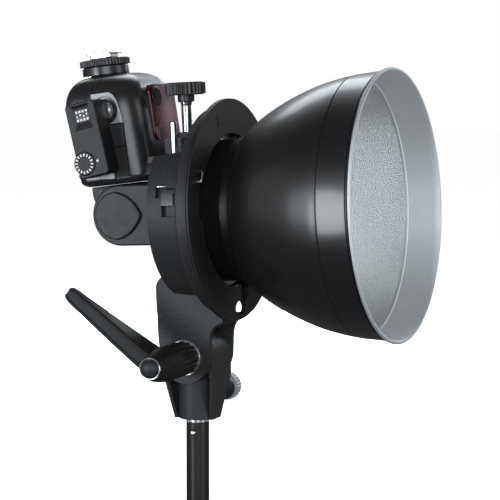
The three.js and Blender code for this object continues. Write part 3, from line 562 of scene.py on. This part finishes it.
rim = [(90.2, 149.6), (91.2, 149.6), (91.75, 150), (91.8, 150.8), (91.3, 151.6), (90.5, 151.8), (89.7, 151.5)]
band = [
    *rim, (89.1, 150.4), (88.6, 147), (87.3, 135), (86.5, 128.8), (85.8, 128.4),
    (85.7, 127.6), (86.1, 127.1), (85.9, 126.4),
]
bowl_inside = [(85.6, 124.4), *lining_curve]
lining_front = [*band, (86.1, 126.3), (87.5, 135), (88.8, 147), (89.1, 149.4)]
front_band = spun("x", lining_front, SIDES, HEAD, AXIS)
piece(front_band, "reflector_front_band", "reflector", "bright_aluminium", rolled)
behind = [(r + 0.35, x - 0.2) for r, x in reversed([(85.9, 126.3), *bowl_inside])]
sleeve = [(47.3, 50.2), (47.3, 24.4), (47.6, 24.4), (47.6, 50.4)]
lining = spun("x", [(85.9, 126.3), *bowl_inside, *sleeve, *behind], SIDES, HEAD, AXIS)
piece(lining, "reflector_lining", "reflector", "bright_aluminium", hammered)

# ---- Flash body, two shells that meet at a seam ----------------------------------------------------

# From a rounded base the body leans back a little up to its shoulder, then bends over to the crown.
HALF, BASE, TOP = 38, 21.3, 97
SEAM, SEAM_GAP = -9.5, 0.15
WALL_THICKNESS = 2.4
BACK = -33
BASE_BACK, BASE_FRONT = -28.4, 26.4
BASE_ROUND = 5.5
LEAN_FROM, LEAN_HEIGHT = 26.3, 52.7
BACK_LEAN, FRONT_LEAN = 4.6, 3.3
SHOULDER, SHOULDER_FRONT = 73, 23.2
BEND_BACK, BEND_FRONT, BEND_IN = -33.4, 22, 0.2
CROWN_BACK, CROWN_FRONT, CROWN_HALF = -16, 1, 15
ROUND_FRONT, ROUND_BACK = 17, 9
BASE_STEPS, CROWN_STEPS, CORNER_STEPS = 6, 14, 10


def bend_between(start, control, end, t):
    """A point of a quadratic curve."""
    return tuple(
        (1 - t) ** 2 * a + 2 * t * (1 - t) * b + t * t * c for a, b, c in zip(start, control, end)
    )


def body_levels(inset):
    """(height, back, front, half width) from the base to the crown."""
    levels = []
    base, top = BASE + inset, TOP - inset
    for k in range(BASE_STEPS + 1):
        turn = math.pi / 2 * k / BASE_STEPS
        lift = BASE_ROUND * (1 - math.cos(turn))
        spread = BASE_ROUND * (1 - math.sin(turn))
        back = BASE_BACK + inset + spread
        front = BASE_FRONT - inset - spread * 0.6
        levels.append((base + lift, back, front, HALF - inset - spread))
    for z in (36, 46, 56, 66):
        share = (z - LEAN_FROM) / LEAN_HEIGHT
        back = BASE_BACK - BACK_LEAN * share + inset
        front = BASE_FRONT - FRONT_LEAN * share - inset
        levels.append((z, back, front, HALF - inset))
    bends = (
        ((BACK + inset, SHOULDER), (BEND_BACK + inset, top), (CROWN_BACK, top)),
        ((SHOULDER_FRONT - inset, SHOULDER), (BEND_FRONT - inset, top), (CROWN_FRONT, top)),
        ((HALF - inset, SHOULDER), (HALF - inset - BEND_IN, top), (CROWN_HALF, top)),
    )
    for k in range(CROWN_STEPS + 1):
        (back, z), (front, _), (half, _) = (bend_between(*bend, k / CROWN_STEPS) for bend in bends)
        levels.append((z, back, front, half))
    return levels


def body_section(z, back, front, half):
    """A rounded rectangle, rounder at its front corners, whose corners shrink with it."""
    reach_front = min(ROUND_FRONT, (front - back) * 0.45)
    reach_back = min(ROUND_BACK, (front - back) * 0.4)
    wide_front = min(ROUND_FRONT, half * 0.75)
    wide_back = min(ROUND_BACK, half * 0.6)
    corners = (
        (front - reach_front, half - wide_front, reach_front, wide_front, 0),
        (back + reach_back, half - wide_back, reach_back, wide_back, 90),
        (back + reach_back, -half + wide_back, reach_back, wide_back, 180),
        (front - reach_front, -half + wide_front, reach_front, wide_front, 270),
    )
    points = []
    for x, y, rx, ry, start in corners:
        for k in range(CORNER_STEPS + 1):
            turn = math.radians(start + 90 * k / CORNER_STEPS)
            points.append((x + rx * math.cos(turn), y + ry * math.sin(turn), z))
    return points


def body_loft(name, inset):
    """The flash body's outer form, or the form of its hollow."""
    return loft(name, [body_section(*level) for level in body_levels(inset)], BODY)


WINDOW_LOW, WINDOW_HIGH = 48, 87
WINDOW_X, WINDOW_LEAN, WINDOW_EDGE = 25.5, 1.6, 2
WINDOW_SPAN = WINDOW_HIGH - WINDOW_LOW + 2 * WINDOW_EDGE


def window_slab(outline, back, front):
    """A plate that leans back with the front face."""
    verts = []
    for depth in (back, front):
        for y, z in outline:
            set_back = WINDOW_LEAN * (z - WINDOW_LOW + WINDOW_EDGE) / WINDOW_SPAN
            verts.append((WINDOW_X - set_back + depth, y, z))
    return make("window", verts, slab_faces(len(outline)), BODY)


SYNC = (0, 72)
FOOT_X = -14.5
front_shell = body_loft("front_shell", 0)
cut(
    front_shell,
    body_loft("hollow", WALL_THICKNESS),
    block(-80, SEAM + SEAM_GAP, -60, 60, 0, 120),
    window_slab(round_box(-17.3, 23.3, 47.7, 87.3, 6.3), -2.1, 8),
    disc("z", 11, 90, 110, (FOOT_X, 0)),
    disc("y", 9.4, -HALF - 2, -HALF + 0.9, SYNC),
    disc("y", 4.4, -HALF - 2, -HALF + 3.6, SYNC),
    block(1.3, 12.9, -HALF - 1, -HALF + 1.7, 25.4, 62.3),
)
bevel(front_shell, 0.35, angle=38)
piece(front_shell, "body_front_shell", "flash_body", "flash_plastic", flash_black, "flash_body_front")

KEYS = {"power": (-22, 78, 3), "test": (22, 78, 3), "mode": (-20, 62, 2.6)}
rear_shell = body_loft("rear_shell", 0)
cut(
    rear_shell,
    body_loft("hollow", WALL_THICKNESS),
    block(SEAM - SEAM_GAP, 60, -60, 60, 0, 120),
    disc("z", 11, 90, 110, (FOOT_X, 0)),
    block(-30.4, -11.6, HALF - 2.9, HALF + 1, 27, 79),
    prism("x", round_box(-24.4, 24.4, 27.6, 56.4, 2.4), BACK - 4, BACK + 6, BODY),
    disc("x", 12.6, BACK - 4, BACK + 6, (0, 76)),
    *[disc("x", r + 0.3, BACK - 4, BACK + 12, (y, z)) for y, z, r in KEYS.values()],
)
bevel(rear_shell, 0.35, angle=38)
piece(rear_shell, "body_rear_shell", "flash_body", "flash_plastic", flash_black, "flash_body_rear")
backing = joined("backing", [
    prism("x", round_box(-26, 26, 26.4, 57.6, 2), BACK + 2, BACK + 5, BODY),
    prism("x", round_box(-15, 15, 61, 91, 3), BACK + 4.3, BACK + 6, BODY),
])
piece(backing, "back_panel_plate", "flash_body", "flash_plastic", flash_matte)

# Painted reflection: a thin light-grey plate on the black body's near side stands in for the side light's
# reflection on that face.
panel_painted_reflection = plastic("port_panel_painted_reflection", (0.26, 0.27, 0.285), 0.4, 0.25, 0.01).material
panel_edge = [
    (-9.2, 47.5), (0.9, 47.5), (0.9, 62.6), (12.4, 62.6),
    (11.6, 70), (10, 77), (7.6, 82), (4.6, 84), (-9.2, 84),
]
panel = prism("y", panel_edge, -HALF - 0.12, -HALF + 0.5, BODY)
bevel(panel, 0.1)
apply_modifiers(panel)
cut(panel, disc("y", 9.7, -HALF - 2, -HALF + 2, SYNC))
piece(shaded(panel), "port_panel_painted_reflection", "flash_body", "flash_plastic", panel_painted_reflection)

collar_profile = [(3.9, -38.5), (3.4, -38.9), (2.6, -38.9), (2.3, -38.4), (2.3, -34.9), (4.1, -34.9)]
socket = joined("socket", [
    spun("y", collar_profile, 40, BODY, SYNC),
    spun("y", [(0.05, -37.9), (0.8, -37.7), (0.9, -34.9), (0.05, -34.9)], 24, BODY, SYNC),
    prism("y", flutes(6.3, 0.35, 24, SYNC), -37.95, -37.3, BODY),
])
piece(socket, "sync_socket_chrome", "flash_body", "chrome", bright_steel, "sync_socket")

# ---- Red window and its assist lens ----------------------------------------------------------------

REFLECTION_START, REFLECTION_END = -0.012, 0.006        # metres across, where the painted reflection begins and is full
# Painted reflection: the window's base colour runs from dark red to a pale pink across its width, in place of
# a softbox's reflection on its glossy face.
window_red = Recipe("red_window", (0.1, 0.006, 0.012), 0.1)
split = window_red.nodes.new("ShaderNodeSeparateXYZ")
window_red.links.new(window_red.place, split.inputs["Vector"])
reflection_share = window_red.spread(split.outputs["Y"], 0, 1, REFLECTION_START, REFLECTION_END)
painted_reflection = window_red.nodes.new("ShaderNodeMix")
painted_reflection.data_type = "RGBA"
painted_reflection.inputs["A"].default_value = (0.05, 0.002, 0.005, 1)
painted_reflection.inputs["B"].default_value = (0.42, 0.27, 0.31, 1)
window_red.links.new(reflection_share, painted_reflection.inputs["Factor"])
window_red.links.new(painted_reflection.outputs["Result"], window_red.shader.inputs["Base Color"])
window_red.vary_rough(window_red.noise(6), 0.03)
window = window_slab(round_box(-17, 23, 48, 87, 6), -1.9, 0.7)
bevel(window, 0.5, 3)
piece(window, "red_window", "flash_body", "red_panel", window_red.material, "front_window")

LENS = (-6, 78)
lens_ring = window_slab(arc(LENS, 6.8, 0, 354, 59), 0.2, 1.0)
bevel(lens_ring, 0.3)
piece(lens_ring, "assist_lens", "flash_body", "clear_plastic", clear_plastic)

RIB_LOW, RIB_HIGH, RIB_WIDTH = 51.5, 71, 0.5
ribs = joined("ribs", [
    window_slab([(y, RIB_LOW), (y + RIB_WIDTH, RIB_LOW), (y + RIB_WIDTH, RIB_HIGH), (y, RIB_HIGH)], 0.4, 0.85)
    for y in (-13, -10.5, -8, -5.5)
])
piece(ribs, "window_ribs", "flash_body", "red_panel", red_panel)

# ---- Foot: knurled lock ring and shoe with its contacts --------------------------------------------

FOOT = (FOOT_X, 0)
ring_profile = [(10.3, 103.6), (16.3, 103.6), (16.6, 103.9), (16.6, 108.1), (16.3, 108.4), (10.3, 108.4)]
lock_ring = joined("lock_ring", [
    prism("z", flutes(17.4, 0.7, 44, FOOT, 8), 103.9, 108.1, BODY),
    spun("z", ring_profile, 72, BODY, FOOT),
])
bevel(lock_ring, 0.15)
piece(lock_ring, "foot_lock_ring_ribbed", "foot_lock_ring", "grained_plastic", ribbed, "foot_lock_ring")

plate = prism("z", round_box(FOOT_X - 9.3, FOOT_X + 9.3, -9.3, 9.3, 1.2), 111.6, 113.1, BODY)
bevel(plate, 0.3)
pedestal = prism("z", round_box(FOOT_X - 8.2, FOOT_X + 8.2, -6.4, 6.4, 1.5), 109.6, 111.7, BODY)
contact_profile = [(0.05, 113), (0.95, 113), (0.95, 113.4), (0.7, 113.75), (0.05, 113.9)]
contacts = [
    spun("z", contact_profile, 20, BODY, (FOOT_X + x, y))
    for x, y in ((0, 0), (-5, 4), (-5, -4), (5, 4), (5, -4))
]
shoe = joined("shoe", [plate, pedestal, *contacts])
piece(shoe, "hot_shoe", "flash_body", "bright_steel", steel, "shoe_plate")

# ---- Receiver --------------------------------------------------------------------------------------

DIAL = (-5.4, -15.6)
FACE = -56


def funnel(outer, inner, face, depth):
    """A cutter whose mouth is the outer rectangle and whose floor is the inner one."""
    verts = []
    for (a0, a1, b0, b1), y in ((outer, face - 0.01), (inner, face + depth)):
        verts += [(a0, y, b0), (a1, y, b0), (a1, y, b1), (a0, y, b1)]
    return make("funnel", verts, slab_faces(4), RECEIVER)


case = prism("y", round_box(-11.25, 11.25, -25.5, 25.5, 2.8), FACE, -40, RECEIVER)
bevel(case, 1.0, 4)
apply_modifiers(case)
pocket = funnel((-7.4, 7.4, 6.6, 24), (-5.2, 5.2, 12, 20.6), FACE, 1.7)
cut(case, disc("y", 8.25, -60, -51.4, DIAL, RECEIVER, 64), pocket)
plug = prism("y", round_box(-5, 5, -4, 4, 1), -40.4, -39, RECEIVER)
case = joined("case", [case, plug])
piece(case, "receiver_case_shell", "receiver", "receiver_plastic", receiver_black, "receiver_case")

dial_profile = [
    (0.05, -52), (7.4, -52), (7.4, -56.4), (7.1, -56.7), (4.5, -56.7), (4.3, -56.55), (0.05, -56.55),
]
dial = joined("dial", [
    prism("y", flutes(7.9, 0.35, 36, DIAL, 6), -56.4, -51.8, RECEIVER),
    spun("y", dial_profile, 72, RECEIVER, DIAL),
])
piece(dial, "receiver_dial_knob", "receiver_dial", "receiver_plastic", receiver_black, "receiver_dial")


def plates(name, outlines, low, high):
    """Several thin raised marks on the receiver's face as one object."""
    return joined(name, [prism("y", outline, low, high, RECEIVER) for outline in outlines])


TICKS, FIRST_TICK = 16, 11
ticks = []
for k in range(TICKS):
    turn = math.radians(360 / TICKS * k + FIRST_TICK)
    along = Vector((math.cos(turn), math.sin(turn)))
    side = Vector((-along.y, along.x)) * 0.55
    ticks.append([
        tuple(Vector(DIAL) + along * reach + side * sign)
        for reach, sign in ((5.0, -0.75), (6.8, -1), (6.8, 1), (5.0, 0.75))
    ])
marks = plates("dial_marks", ticks, -56.8, -56.6)
piece(marks, "receiver_dial_marks", "receiver_dial", "receiver_plastic", white_mark)

arrow = [(3.3, -15.6), (5.2, -14.5), (5.2, -16.7)]
pointer = plates("pointer", [arrow], FACE - 0.1, FACE + 0.1)
piece(pointer, "receiver_pointer", "receiver", "receiver_plastic", white_mark)

for low_edge, high_edge, where in ((20.7, 23.9, "upper"), (6.7, 11.9, "lower")):
    narrow, wide = (low_edge, high_edge) if where == "upper" else (high_edge, low_edge)
    corners = [(-5.1, 1.66, narrow), (5.1, 1.66, narrow), (7.2, 0.02, wide), (-7.2, 0.02, wide)]
    front_side = [(x, FACE + y, z) for x, y, z in corners]
    back_side = [(x, FACE + y + 0.3, z) for x, y, z in corners]
    ramp = make("ramp", front_side + back_side, slab_faces(4), RECEIVER)
    bevel(ramp, 0.08, 1)
    piece(ramp, f"receiver_ramp_{where}", "receiver", "receiver_plastic", satin)

switch_block = prism("y", round_box(-5.1, 5.1, 12.1, 20.5, 0.2, 2), FACE + 1.5, FACE + 2.3, RECEIVER)
piece(switch_block, "receiver_switch_block", "receiver", "clear_plastic", switch_plastic, "receiver_window")
COLUMNS, FIRST_COLUMN, COLUMN_STEP = 4, -3.75, 2.5
levers = []
for column in range(COLUMNS):
    a = FIRST_COLUMN + column * COLUMN_STEP
    levers.append(round_box(a - 0.75, a + 0.75, 12.8, 14.4, 0.3, 2))
    levers.append(round_box(a - 0.5, a + 0.5, 15.3 + (column % 2), 16.5 + (column % 2), 0.3, 2))
    levers.append(round_box(a - 0.75, a + 0.75, 18.5, 19.9, 0.3, 2))
code = plates("code_marks", levers, FACE + 1.2, FACE + 1.55)
piece(code, "receiver_code_marks", "receiver", "receiver_plastic", white_mark)

# ---- Clamp screw and knob --------------------------------------------------------------------------

CLAMP = (1, 0)
PITCH = 1.25
THREAD_LOW, THREAD_HIGH = 127, 172
ROOT, CREST = 3.45, 3.95
thread = [(0.05, 125.3), (3.4, 125.3)]
for k in range(int((THREAD_HIGH - THREAD_LOW) / PITCH)):
    z = THREAD_LOW + k * PITCH
    thread += [(ROOT, z), (CREST, z + 0.45), (CREST, z + 0.6), (ROOT, z + 1.05)]
thread += [(3.9, 173), (3.9, 184), (0.05, 184)]
screw = spun("z", thread, 40, HEAD, CLAMP)
piece(screw, "clamp_screw_thread", "clamp_knob", "chrome", chrome, "clamp_screw")

knob_profile = [
    (4.3, 178.8), (12.3, 178.8), (12.8, 179.4), (12.8, 187.1),
    (12.2, 187.7), (9.4, 187.7), (9, 187.2), (4.3, 187.2),
]
knob = joined("knob", [
    prism("z", flutes(13.75, 1.1, 28, CLAMP, 8, 0.7), 179.4, 187.1, HEAD),
    spun("z", knob_profile, 72, HEAD, CLAMP),
    spun("z", [(4.3, 174), (5.2, 174), (5.8, 174.8), (5.8, 179.2), (4.3, 179.2)], 40, HEAD, CLAMP),
    spun("z", [(0.05, 184.4), (4.2, 184.4), (4.2, 187.3), (3.8, 187.6), (0.05, 187.6)], 40, HEAD, CLAMP),
])
piece(knob, "clamp_knob_ribbed", "clamp_knob", "grained_plastic", ribbed, "clamp_knob")

# ---- Clamping lever --------------------------------------------------------------------------------

ARM_TURN = math.radians(143)
HUB = (0, 0)


def lever_station(distance, half, near, far):
    """A section across the lever's arm, with a groove between two ridges on its near face."""
    chamfer, ridge, groove, draft = half * 0.2, half * 0.2, 0.9, 0.3
    section = [
        (-half + chamfer, near), (-half + chamfer + ridge, near),
        (-half + chamfer + ridge + draft, near + groove), (half - chamfer - ridge - draft, near + groove),
        (half - chamfer - ridge, near), (half - chamfer, near),
        (half, near + chamfer), (half, far - chamfer), (half - chamfer, far), (-half + chamfer, far),
        (-half, far - chamfer), (-half, near + chamfer),
    ]
    along = Vector((math.cos(ARM_TURN), math.sin(ARM_TURN)))
    across = Vector((-math.sin(ARM_TURN), math.cos(ARM_TURN)))
    points = [along * distance + across * n for n, _ in section]
    return [(point.x, y, point.y) for point, (_, y) in zip(points, section)]


STATIONS = [
    (6, 6.4, -74.2, -49.4), (16, 6.4, -74.4, -53), (32, 6.2, -74.2, -57.4), (50, 5.8, -73.8, -62),
    (66, 5.4, -73.4, -66), (74, 5.2, -73, -67.2), (78, 4.4, -72.6, -67.6), (79.6, 3.2, -71.8, -68.2),
]
lever_arm = loft("arm", [lever_station(*station) for station in STATIONS], PIVOT)
bevel(lever_arm, 0.4, 3, 25)
hub = spun("y", [
    (2.6, -76), (6.8, -76), (7.7, -75.6), (8.6, -73.6), (9.9, -69), (11.2, -62), (11.9, -55), (12, -48.4),
    (11.4, -47.4), (7.5, -47.4), (7.5, -62.3), (2.6, -62.3),
], 72, PIVOT, HUB)
barrel = prism("y", flutes(11.8, 1.5, 16, HUB, 10, 0.6), -47.7, -23.6, PIVOT)
bevel(barrel, 0.5, 3, 60)
apply_modifiers(barrel)
cut(barrel, disc("y", 7.5, -50, -20, HUB, PIVOT))
handle = joined("handle", [lever_arm, hub, barrel])
piece(handle, "lever_handle_moulding", "tilt_lever", "grained_plastic", lever_plastic, "lever_handle")
cap_ring = spun("y", [(6.8, -76.2), (7.5, -76.2), (7.6, -76.5), (7.3, -76.9), (6.8, -76.8)], 48, PIVOT, HUB)
piece(cap_ring, "lever_cap_ring", "tilt_lever", "bright_steel", bright_steel)

# ---- Knurled collar at the stand tube's top --------------------------------------------------------

collar = prism("z", flutes(8, 0.35, 48, (0, 0), 6), 58.95, 60.95, ROW)
cut(collar, disc("z", 7.2, 50, 70, (0, 0), ROW))
piece(shaded(collar), "collar_knurl", "stand_tube", "steel", bright_steel)

# ---- Lock knob on the socket's far side: a black bell and a pale fluted grip -----------------------

LOCK = (0, 76)
bell = spun("y", [
    (3.6, 27.4), (6.2, 27.4), (6.8, 38), (8.2, 40.6), (8.8, 43), (8.6, 45.2), (7.8, 46.3), (3.6, 46.3),
], 72, ROW, LOCK)
piece(bell, "lock_knob_bell", "stand_lock", "grained_plastic", ribbed, "stand_lock_knob")
grip_profile = [
    (3.6, 46.5), (7.6, 46.5), (9.3, 47.6), (9.3, 54.6), (8.4, 56), (6.2, 56.9), (0.05, 57),
    (0.05, 47.9), (3.6, 47.9),
]
grip = joined("grip", [
    prism("y", flutes(9.9, 0.7, 26, LOCK, 8, 0.6), 47, 54.6, ROW),
    spun("y", grip_profile, 72, ROW, LOCK),
])
piece(grip, "lock_knob_grip", "stand_lock", "grained_plastic", pale_plastic)

# ---- Release tab on the drum -----------------------------------------------------------------------


def ring_part(inner, outer, low, high, start, end, steps=10):
    """A block of a ring about the optical axis, between two angles."""
    outline = arc(AXIS, outer, start, end, steps) + arc(AXIS, inner, end, start, steps)
    return prism("x", outline, low, high, HEAD)


RIDGES, RIDGE_STEP = 5, 1.5
PIN_TURN = math.radians(160.6)
PIN_REACH = 60
tab_parts = [ring_part(56.8, 61.4, 7, 15.8, 165, 173)]
for k in range(RIDGES):
    tab_parts.append(ring_part(61.2, 62.2, 7.4, 15.4, 165.4 + RIDGE_STEP * k, 166.2 + RIDGE_STEP * k, 2))
tab = joined("tab", tab_parts)
piece(tab, "release_tab", "release_lever", "grained_plastic", tab_plastic, "release_lever")

pin_at = (PIN_REACH * math.cos(PIN_TURN), AXIS_Z + PIN_REACH * math.sin(PIN_TURN))
pin_profile = [(0.05, 3), (0.9, 3), (1.1, 3.3), (1.1, 8.3), (0.8, 9), (0.05, 9.2)]
release_pin = spun("x", pin_profile, 24, HEAD, pin_at)
piece(release_pin, "release_pin", "release_lever", "steel", bright_steel)
